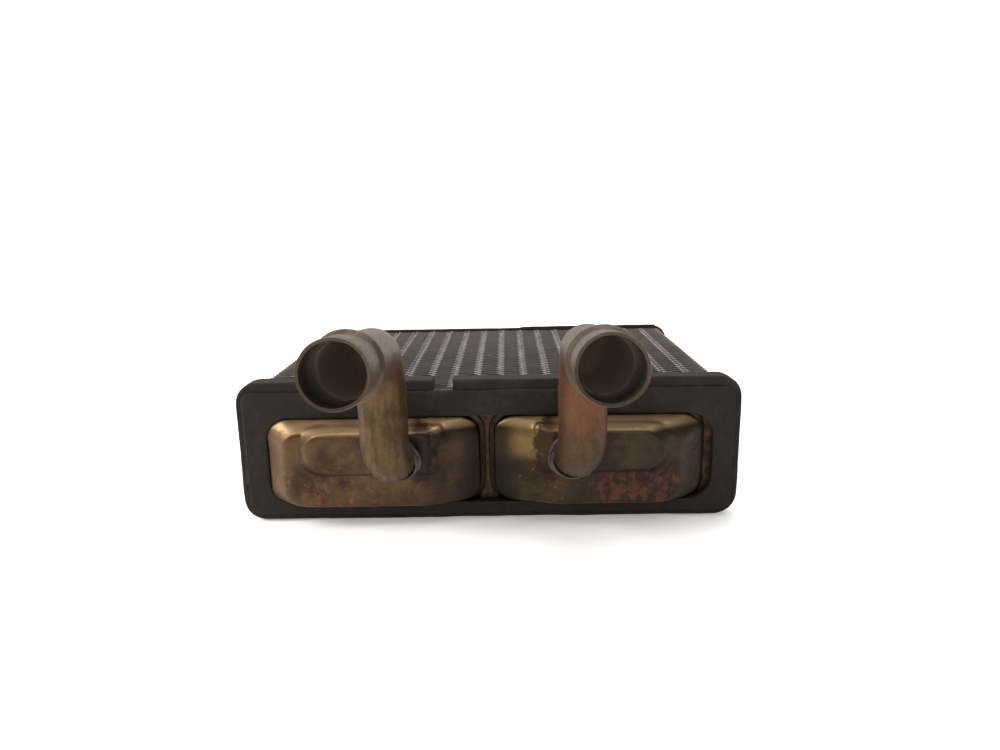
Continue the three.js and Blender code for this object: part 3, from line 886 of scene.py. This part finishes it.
def stepped_block(name, sections, edge, edge_steps, rim, rim_steps):
    """A solid through rectangles (y, left, right, bottom, top), from the back to the front.

    It starts as a block between the first two. Its front face is extruded once for each further
    rectangle, and its corners are drawn there. The long edges and the front rim are then rounded.
    Edge is the radius of the long edges, or a pair of radii for the left and the right ones.
    """
    (y0, *_), (y1, left, right, bottom, top) = sections[0], sections[1]
    block = add_block(name, (left, y1, bottom), (right, y0, top))
    for y, new_left, new_right, new_bottom, new_top in sections[2:]:
        pick(block, lambda p, n: n.y < -0.9 and abs(p.y - y1) < 0.05, "FACE")
        extrude_by(0, y - y1, 0)
        for x, new_x in ((left, new_left), (right, new_right)):
            for z, new_z in ((bottom, new_bottom), (top, new_top)):
                pick(block, lambda p, _: (p - Vector((x, y, z))).length < 0.2)
                move_by(new_x - x, 0, new_z - z)
        y1, left, right, bottom, top = y, new_left, new_right, new_bottom, new_top
    middle = (left + right) / 2
    radii = edge if isinstance(edge, tuple) else (edge, edge)
    for side, radius in zip((-1, 1), radii):
        pick(block, lambda p, along: abs(along.y) > 0.3 and side * (p.x - middle) > 0, "EDGE")
        round_off(radius, edge_steps)
    pick(block, lambda p, _: abs(p.y - y1) < 0.05, "EDGE")
    round_off(rim, rim_steps)
    leave_edit()
    return block


def open_and_thicken(piece, back_y, outwards, sheet):
    """Cuts a pressing open beyond back_y, in mm, and gives it the thickness of sheet."""
    edit_all(piece)
    bpy.ops.mesh.bisect(plane_co=(0, back_y * MM, 0), plane_no=(0, outwards, 0), clear_outer=True)
    leave_edit()
    apply_modifier(piece, "SOLIDIFY", thickness=sheet * MM, offset=-1)


FLANGE = 1.8  # width of the flange that is soldered to the header
SHEET = 0.9
SKIN_CELL = 0.55  # fine enough to keep the pad's edge
TRAY_STRAIGHT, TRAY_SHOULDER, TRAY_FRONT = -5.0, -11.4, -12.0  # Y of the wall's lean, its end, the front


def front_tank(node, side, inboard, slants, brass, seed):
    """One of the two front tanks; side is -1 left of the middle, 1 right of it.

    Inboard is how far its inboard wall stands from the middle, and slants say how far the inboard
    and outboard walls lean in on the way to the front.
    """
    lean_in, lean_out = slants
    low, high = box_mm(node)
    outboard = max(side * low.x, side * high.x) - FLANGE
    back, front, pad_front = high.y, TRAY_FRONT, low.y
    bottom, top = low.z + FLANGE, high.z - FLANGE

    def section(y, nearest, farthest, z0, z1):
        return (y, *sorted((side * nearest, side * farthest)), z0, z1)

    body = stepped_block(node + "_pressing", (
        section(back + 2, inboard, outboard, bottom, top),
        section(TRAY_STRAIGHT, inboard, outboard, bottom, top),
        section(TRAY_SHOULDER, inboard + lean_in, outboard - lean_out, bottom + 0.8, top - 2.7),
        section(front, inboard + lean_in + 0.8, outboard - lean_out - 0.9, bottom + 1.2, top - 3.2),
    ), 6.4, 6, 0.5, 2)
    pad = stepped_block("pad", (
        section(front + 4, inboard + lean_in - 0.6, outboard - 10.5, 19.6, top - 1.0),
        section(front + 1.2, inboard + lean_in - 0.6, outboard - 11.5, 20.4, top - 1.4),
        section(pad_front + 0.2, inboard + lean_in + 5, outboard - 16, 22.4, 37.0),
    ), (6.6, 1.5)[::-side], 7, 0.7, 2)
    join(body, [pad])
    soften(body, SKIN_CELL, 9)
    ripple(body, 17, 0.8, seed, "Y")
    ripple(body, 5, 0.2, seed + 1)
    open_and_thicken(body, back, 1, SHEET)
    flange = stepped_block("flange", (
        section(back, inboard - FLANGE, outboard + FLANGE, low.z, high.z),
        section(back - SHEET, inboard - FLANGE, outboard + FLANGE, low.z, high.z),
    ), 8.5, 7, 0.3, 2)
    cutter = stepped_block("cutter", (
        section(back + 1, inboard + 0.6, outboard - 0.6, bottom + 0.6, top - 0.6),
        section(back - 2, inboard + 0.6, outboard - 0.6, bottom + 0.6, top - 0.6),
    ), 6.0, 6, 0.1, 1)
    punch_out(flange, cutter)
    join(body, [flange])
    dress(body, (brass,), node, smooth=60)
    return body


inlet_tank = front_tank("inlet_tank", -1, 3.0, (13.5, 6.6), inlet_brass, 301)
outlet_tank = front_tank("outlet_tank", 1, 2.0, (15.0, 8.8), outlet_brass, 311)
print("front tanks:", len(inlet_tank.data.polygons), len(outlet_tank.data.polygons), "faces")

# %% [markdown]
# ## Return tank
# At the far end one long tank turns the water round. It is pressed like the front ones, from a
# tray with a shallow raised panel, so the same two steps make it: blocks melted together, then cut
# open and thickened. It is modelled facing the same way as the others and then turned about.

# %% Return tank


REAR_SHORT = 1.1  # how much shallower the tray is than the CAD solid, for the panel and the ripple
PANEL_RISE = 0.7


def rear_tank(node):
    """The long tank at the back, pressed the other way: it is modelled facing -Y, then turned."""
    low, high = box_mm(node)
    depth = high.y - low.y - REAR_SHORT
    body = stepped_block(node + "_pressing", (
        (2, low.x, high.x, low.z, high.z),
        (-depth * 0.55, low.x, high.x, low.z, high.z),
        (-depth, low.x + 3.6, high.x - 3.6, low.z + 2.6, high.z - 2.6),
    ), 7, 6, 1.4, 3)
    raised = stepped_block("panel", (
        (-depth + 2, low.x + 12, high.x - 12, low.z + 9, high.z - 9),
        (-depth - PANEL_RISE + 0.1, low.x + 13, high.x - 13, low.z + 10, high.z - 10),
    ), 6, 5, 0.4, 1)
    join(body, [raised])
    soften(body, 0.8, 4)
    activate(body)
    body.rotation_euler = (0, 0, math.pi)
    body.location = (0, low.y * MM, 0)
    place_in_mesh(body)
    ripple(body, 18, 0.6, 321, "Y")
    open_and_thicken(body, low.y, -1, SHEET)
    dress(body, (return_brass,), node, smooth=60)
    return body


return_tank = rear_tank("return_tank")
print("return tank:", len(return_tank.data.polygons), "faces")

# %% [markdown]
# ## Bent pipes
# A pipe is drawn like the bender makes it: a ring is extruded along the first straight, spun round
# the first bend, extruded up, spun round the second bend, and extruded to the mouth. A few short
# steps with a change of size roll the bead in. The wall is added at the end, so that the mouth is
# really hollow. The foot, the two corners and the mouth of each route are listed points.

# %% Pipes

PIPE_RADIUS, PIPE_WALL = 8.0, 0.7
FOOT_BEND, NECK_BEND = 11.0, 21.0  # radii of the two bends
PIPE_SIDES = 56
BEND_STEPS = 14
UPRIGHT_STEPS, FORWARD_STEPS, LIP_STEPS = 6, 8, 3
BEAD_STEPS = (  # advance in mm towards the mouth, and radius after it
    (0.9, 8.05), (0.6, 8.45), (0.6, 8.95), (0.8, 9.15), (0.8, 8.95), (0.6, 8.45), (0.6, 8.05), (0.9, 8.0),
)
BEAD_FROM_MOUTH = 19.0  # from the middle of the rolled bead
RIM_LENGTH, RIM_RADIUS = 0.5, 7.88  # the mouth's rim is drawn in a little
INLET_ROUTE = ((-32.3, -12, 30), (-33.6, -27.5, 23.4), (-33.6, -27.5, 68.5), (-29, -109.5, 79.8))
OUTLET_ROUTE = ((29.6, -12, 30), (31.8, -26.2, 25.8), (31.8, -26.2, 68.5), (29.4, -109, 79.8))


def bend(before, corner, after, radius):
    """Start, end, centre, axis and angle of a round bend at a corner."""
    back, ahead = (before - corner).normalized(), (after - corner).normalized()
    half = back.angle(ahead) / 2
    reach = radius / math.tan(half)
    centre = corner + (back + ahead).normalized() * radius / math.sin(half)
    axis = (-back).cross(ahead).normalized()
    return corner + back * reach, corner + ahead * reach, centre, axis, math.pi - 2 * half


def drawn_tube(name, route):
    """A ring drawn along a route of foot, elbow, neck and mouth, with its bead, as a single skin."""
    foot, elbow, neck, mouth = (Vector(p) for p in route)
    first = bend(foot, elbow, neck, FOOT_BEND)
    second = bend(elbow, neck, mouth, NECK_BEND)
    facing = (elbow - foot).normalized()
    deselect()
    bpy.ops.mesh.primitive_circle_add(
        vertices=PIPE_SIDES, radius=PIPE_RADIUS * MM, location=foot * MM,
        rotation=facing.to_track_quat("Z", "Y").to_euler(),
    )
    pipe = bpy.context.object
    pipe.name = name
    place_in_mesh(pipe)
    edit_all(pipe)
    extrude_by(*(first[0] - foot))
    spin_about(first[2], first[3], -first[4], BEND_STEPS)
    extrude_by(*(second[0] - first[1]), UPRIGHT_STEPS)
    spin_about(second[2], second[3], -second[4], BEND_STEPS)
    along = (mouth - neck).normalized()
    lip = BEAD_FROM_MOUTH - sum(advance for advance, _ in BEAD_STEPS) / 2
    to_bead = (mouth - second[1]).length - 2 * BEAD_FROM_MOUTH + lip
    extrude_by(*(along * to_bead), FORWARD_STEPS)
    radius, at = PIPE_RADIUS, second[1] + along * to_bead
    lip_step = ((lip - RIM_LENGTH) / LIP_STEPS, PIPE_RADIUS)
    for advance, wider in (*BEAD_STEPS, *[lip_step] * LIP_STEPS, (RIM_LENGTH, RIM_RADIUS)):
        extrude_by(*(along * advance))
        at = at + along * advance
        scale = wider / radius
        bpy.ops.transform.resize(value=(scale, scale, scale), center_override=at * MM)
        radius = wider
    face_outwards()
    return pipe


def finish_pipe(pipe, metal, node, seed):
    """Gives the skin of a pipe its unevenness and its wall, with scale and a painted glow on the inside."""
    ripple(pipe, 9, 0.35, seed)
    activate(pipe)
    modifier = pipe.modifiers.new("Wall", "SOLIDIFY")
    modifier.thickness, modifier.offset = PIPE_WALL * MM, -1
    modifier.material_offset, modifier.material_offset_rim = 1, 0
    pipe.data.materials.append(metal)
    pipe.data.materials.append(scale_and_glow)
    bpy.ops.object.modifier_apply(modifier="Wall")
    dress(pipe, (metal, scale_and_glow), node, smooth=40)
    return pipe


inlet_pipe = finish_pipe(
    drawn_tube("inlet_bent_pipe", INLET_ROUTE), inlet_metal, "inlet_pipe", 401,
)
outlet_pipe = finish_pipe(
    drawn_tube("outlet_bent_pipe", OUTLET_ROUTE), outlet_metal, "outlet_pipe", 411,
)
for pipe, end in ((inlet_pipe, INLET_ROUTE[3]), (outlet_pipe, OUTLET_ROUTE[3])):
    reach = min(v.co.y for v in pipe.data.vertices) / MM
    print(pipe.name, len(pipe.data.polygons), f"faces, mouth at y {reach:.1f} mm, route ends at {end[1]}")

# %% [markdown]
# ## Solder collars
# Each pipe is soldered into its tank, and the solder has been left in rings, a thick one on the tank
# and thinner ones up the pipe. Rings round the foot, made uneven, are the simplest way to that. The
# left collar is under burnt flux.

# %% Solder collars
COLLAR_RINGS = ((0.1, 8.9, 0.85), (1.5, 8.4, 0.6), (2.5, 8.2, 0.4))  # place along the foot, two radii


def collar(node, route, metal, seed):
    """Uneven rings of solder, from the one that stands on the tank to the one up the pipe."""
    foot, elbow = Vector(route[0]), Vector(route[1])
    facing = (elbow - foot).normalized()
    turn = facing.to_track_quat("Z", "Y").to_euler()
    low, high = box_mm(node)
    start = (high.y - foot.y) / facing.y
    rings = []
    for along, major, minor in COLLAR_RINGS:
        deselect()
        bpy.ops.mesh.primitive_torus_add(
            major_segments=72, minor_segments=14, major_radius=major * MM, minor_radius=minor * MM,
            location=(foot + facing * (start + along)) * MM, rotation=turn,
        )
        ring = bpy.context.object
        ring.name = node + "_ring"
        place_in_mesh(ring)
        ripple(ring, 3, 0.5, seed + len(rings))
        rings.append(ring)
    piece = join(rings[0], rings[1:])
    piece.name = node + "_solder"
    dress(piece, (metal,), node, smooth=60)
    return piece


inlet_collar = collar("inlet_collar", INLET_ROUTE, burnt_flux, 501)
outlet_collar = collar("outlet_collar", OUTLET_ROUTE, old_solder, 511)
print("collars:", inlet_collar.name, outlet_collar.name)

# %% [markdown]
# ## Foam seals
# The outer strip is cut from sheet foam and wrapped round the header. Its section is drawn once, as
# a face with rounded corners, then extruded along the runs and spun round the corners, and it stops
# on both sides of the gap in the top. Foam is soft, so it sags and swells a little everywhere.

# %% Wrapped strips
FOAM_EDGE = 0.9
FOAM_STEP = 3  # length of one step along a straight run
SIDE_SQUEEZE, FOOT_SQUEEZE = 0.5, 0.45  # the foam drawn in, so that its swelling stays in the CAD box
GAP_LEFT, GAP_RIGHT = -19.4, -12.3  # X of the front strip's cut ends


def foam_section(name, at, wide, thick):
    """Faces across the strip at a point of its top run: wide along Y, thick along Z, corners round."""
    deselect()
    bpy.ops.mesh.primitive_plane_add(size=1, location=Vector(at) * MM, rotation=(0, math.pi / 2, 0))
    section = bpy.context.object
    section.name = name
    section.scale = (thick * MM, wide * MM, 1)
    place_in_mesh(section)
    edit_all(section)
    bpy.ops.mesh.subdivide(number_cuts=3)
    low_y, high_y = at[1] - wide / 2, at[1] + wide / 2
    pick(section, lambda p, _: min(abs(p.y - low_y), abs(p.y - high_y)) < 0.01
         and abs(abs(p.z - at[2]) - thick / 2) < 0.01)
    round_off(FOAM_EDGE, 4, "VERTICES")
    leave_edit()
    return section


def wrapped_strip(name, start_x, end_x, low, high, near, far, thick, corner):
    """A strip from start_x on the top run, round to the right, to end_x on the top run."""
    strip = foam_section(name, (start_x, (near + far) / 2, high.z - thick / 2), far - near, thick)
    edit_all(strip, "FACE")
    right, left, bottom, top = high.x - corner, low.x + corner, low.z + corner, high.z - corner
    runs = (  # how far each straight run goes, and the corner it ends in
        ((right - start_x, 0), (right, top)), ((0, bottom - top), (right, bottom)),
        ((left - right, 0), (left, bottom)), ((0, top - bottom), (left, top)),
    )
    for (x, z), centre in runs:
        extrude_by(x, 0, z, round(math.hypot(x, z) / FOAM_STEP))
        spin_about((centre[0], 0, centre[1]), (0, 1, 0), -math.pi / 2, 8)
    extrude_by(end_x - left, 0, 0, round((end_x - left) / FOAM_STEP))
    face_outwards()
    return strip


def finish_foam(piece, node, hills, seed):
    """Swells the foam unevenly, in hills of a size and height in mm, and dresses it."""
    for number, (size, height) in enumerate(hills):
        ripple(piece, size, height, seed + number)
    dress(piece, (foam,), node, smooth=60)


seal_low, seal_high = box_mm("front_seal_outer")
header_low, header_high = box_mm("front_header")
strip_low = seal_low + Vector((SIDE_SQUEEZE, 0, FOOT_SQUEEZE))
strip_high = seal_high - Vector((SIDE_SQUEEZE, 0, 0))
thickness = header_low.z - seal_low.z
outer = wrapped_strip(
    "front_outer_foam", GAP_RIGHT, GAP_LEFT, strip_low, strip_high, seal_low.y, seal_high.y, thickness, 8.0,
)
# the top run's underside is pressed flat on the header
under = seal_high.z - thickness
pick(outer, lambda p, _: under - 1.6 < p.z < under + FOAM_EDGE + 0.05 and abs(p.x) < header_high.x + 0.4)
move_by(0, 0, header_high.z - under)
leave_edit()
finish_foam(outer, "front_seal_outer", ((24, 0.7), (6, 0.25)), 601)
print("outer strip:", len(outer.data.polygons), "faces")

# %% [markdown]
# ## Inner foam frame
# A flat frame of the same foam lies on the header round the two tanks. It is stamped from sheet, and
# so it is here: a plate with round corners, and a punch of the hole's shape taken out of it by a
# Boolean. Remeshing and smoothing then take the hardness out of the cut edges.

# %% Inner foam frame
frame_low, frame_high = box_mm("front_seal_inner")
HOLE = (-80.5, 81.0, 7.1, 39.9)  # left, right, bottom and top
HOLE_CORNER = 8.9
SWELL_SIDE, SWELL_TOP = 0.6, 0.3  # how far the soft frame squeezes out under the outer strip


def foam_frame(name):
    """A plate of foam with rounded corners, with the tank hole cut out of it."""
    sides = (frame_low.x - SWELL_SIDE, frame_high.x + SWELL_SIDE)
    ends = (frame_low.z - SWELL_TOP, frame_high.z + SWELL_TOP)
    plate = stepped_block(
        name, ((frame_high.y, *sides, *ends), (frame_low.y, *sides, *ends)), 3.6, 6, 0.4, 2,
    )
    punch = stepped_block(
        "punch", ((frame_high.y + 3, *HOLE), (frame_low.y - 3, *HOLE)), HOLE_CORNER, 8, 0.1, 1,
    )
    punch_out(plate, punch)
    soften(plate, 0.7, 2)
    return plate


inner = foam_frame("front_inner_foam")
finish_foam(inner, "front_seal_inner", ((20, 0.5), (5, 0.2)), 611)
print("inner frame:", len(inner.data.polygons), "faces")

# %% [markdown]
# ## Rear strip
# The rear header wears the same kind of strip, and this one was cut too long, so its end lies over
# its start. The strip is wrapped as at the front, and the lap is a second, thinner length on top of
# it whose cut end slopes down.

# %% Rear strip with its lapped end
rear_low, rear_high = box_mm("rear_seal")
REAR_THICK = 2.0
REAR_SAG = 1.7  # behind the header the foam has nothing under it and sags
STRIP_DROP = 1.3  # how far the strip's top lies below the lap's highest place
LAP_LEFT, LAP_RIGHT = 12.5, 84.5  # X of the lap's ends
SIDE_DRAW = 1.2  # how far its sides lie inside the CAD model's
LAP_DROP, LAP_OVERLAP = 0.6, 0.6  # the lap's top below the CAD model's, and its depth in the strip
main_low = rear_low + Vector((SIDE_DRAW, 0, 0))
main_high = rear_high - Vector((SIDE_DRAW, 0, STRIP_DROP))
rear = wrapped_strip(
    "rear_foam", LAP_LEFT + 3, LAP_LEFT + 2.9, main_low, main_high, rear_low.y, rear_high.y, REAR_THICK, 6.5,
)
lap_top = rear_high.z - LAP_DROP
lap = add_block(
    "lap", (LAP_LEFT, rear_low.y + 0.3, main_high.z - LAP_OVERLAP), (LAP_RIGHT, rear_high.y - 0.2, lap_top),
)
pick(lap, lambda p, along: abs(along.x) > 0.9 and p.z > main_high.z, "EDGE")
round_off(0.5, 3)
pick(lap, lambda p, along: abs(along.x) > 0.9, "EDGE")
bpy.ops.mesh.subdivide(number_cuts=24)
pick(lap, lambda p, _: p.x < LAP_LEFT + 0.1 and p.z > main_high.z - 0.1)
move_by(0, 0, main_high.z - lap_top)
leave_edit()
join(rear, [lap])
pick(rear, lambda p, _: p.y > rear_low.y + 4 and p.z > main_high.z - REAR_THICK - 0.2)
move_by(0, 0, -REAR_SAG)
leave_edit()
finish_foam(rear, "rear_seal", ((24, 0.6), (6, 0.2)), 621)
print("rear strip:", len(rear.data.polygons), "faces")

# %% [markdown]
# ## Header plates
# The plates that the tubes are soldered into are almost wholly hidden by foam and tanks. The CAD
# shape is exact where it shows, between the tanks and in the gap of the strip, so both plates keep
# it and only take their stained brass.

# %% Headers keep their CAD shape
for node in ("front_header", "rear_header"):
    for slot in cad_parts[node].material_slots:
        slot.material = plate_brass
print("headers dressed in", plate_brass.name)

# %% [markdown]
# ## Floor
# The radiator lies on white paper over a lit table, so its shadow is faint. From the camera's side, a
# plane a few metres wide hides its edge in the white of the studio, and a faint fibre pattern keeps
# it from being a flat colour.

# %% Floor


def pale_paper():
    """White paper with a faint fibre."""
    material, node, coords = new_material("pale_paper")
    fibre = node("TexNoise", (coords, blobs(3), 4, 0.55))
    colour = node("Mix", (fibre, paint("#f6f5f3"), paint("#fbfaf8")), **COLOUR)
    shader = node("BsdfPrincipled", {"Base Color": colour, "Roughness": 0.8,
                                     "Emission Color": colour, "Emission Strength": 0.3})
    node("OutputMaterial", (shader,))
    return material


deselect()
FLOOR_SIZE = 6  # metres
bpy.ops.mesh.primitive_plane_add(size=FLOOR_SIZE)
floor = bpy.context.object
floor.name = "studio_floor"
floor.data.materials.append(pale_paper())
floor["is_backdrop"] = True
print("floor:", floor.name)

# %% [markdown]
# ## Light
# The studio is white all round, but darker behind the camera and on the right, so the front of the
# tanks stays dim and the left side of each form is the lighter one. A warm soft box on the left
# draws the highlights on the brass, one above lifts the core, and a weak one fills the front.

# %% Light
world = bpy.data.worlds.new("studio")
bpy.context.scene.world = world
world.use_nodes = True
world.node_tree.nodes.clear()
sky = partial(add_node, world.node_tree)
direction = sky("TexCoord", {}, "Generated")
toward_x, toward_y = (sky("SeparateXYZ", (direction,), axis) for axis in "XY")
walls = sky("MapRange", (toward_y, -0.1, -0.75, 1.25, 0.22), **SMOOTH)
right_wall = sky("MapRange", (toward_x, 0.62, 0.85, 1.0, 0.45), **SMOOTH)
strength = sky("Math", (walls, right_wall), operation="MULTIPLY")
glow = sky("Background", {"Color": (1, 1, 1, 1), "Strength": strength})
sky("OutputWorld", (glow,))


LOOK_AT = Vector((0, 0, 0.03))  # about the middle of the front, in metres


def soft_light(name, place, size, power, warmth):
    """A square soft box, placed in metres, that looks at the radiator."""
    lamp = bpy.data.lights.new(name, "AREA")
    lamp.size, lamp.energy, lamp.color = size, power, warmth
    holder = bpy.data.objects.new(name, lamp)
    bpy.context.collection.objects.link(holder)
    holder.location = place
    holder.rotation_euler = (LOOK_AT - Vector(place)).to_track_quat("-Z", "Y").to_euler()


soft_light("key", (-1.0, -0.25, 0.75), 0.6, 13, (1.0, 0.96, 0.91))
soft_light("top", (0.2, 0.5, 1.2), 1.0, 7, (1.0, 1.0, 1.0))
soft_light("fill", (0.015, -1.1, 0.22), 0.3, 1.0, (1.0, 0.93, 0.88))

# %% [markdown]
# ## Camera
# The camera stands close, a little above the pipes, and looks down by about thirteen degrees. So
# near an object the far end shrinks quickly, which is what makes the two mouths look so large.

# %% Camera
LENS, SENSOR = 26.46, 36
STAND = Vector((7.664, -258.192, 113.996))
SWING, LOOK_DOWN, ROLL = 0.675, 13.16, -1.10  # degrees
eye = bpy.data.cameras.new("camera")
camera = bpy.data.objects.new("camera", eye)
bpy.context.collection.objects.link(camera)
eye.lens, eye.sensor_width = LENS, SENSOR
camera.location = STAND * MM
swing, tilt, roll = (math.radians(angle) for angle in (SWING, 90 - LOOK_DOWN, ROLL))
turned = Matrix.Rotation(swing, 4, "Z") @ Matrix.Rotation(tilt, 4, "X") @ Matrix.Rotation(roll, 4, "Z")
camera.rotation_euler = turned.to_euler()
eye.clip_start, eye.clip_end = 0.01, 20
bpy.context.scene.camera = camera
bpy.context.scene.view_settings.view_transform = "Standard"
print("camera at", [round(c, 3) for c in camera.location], "lens", LENS, "mm")

# %% [markdown]
# ## Sizes
# The finished pieces are measured against the CAD model's box, to show how little they stand past it.

# %% Sizes
visual_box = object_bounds()
for name, box in (("CAD", cad_box), ("visual", visual_box)):
    print(name, "box in mm:", [[round(c / MM, 2) for c in corner] for corner in box])
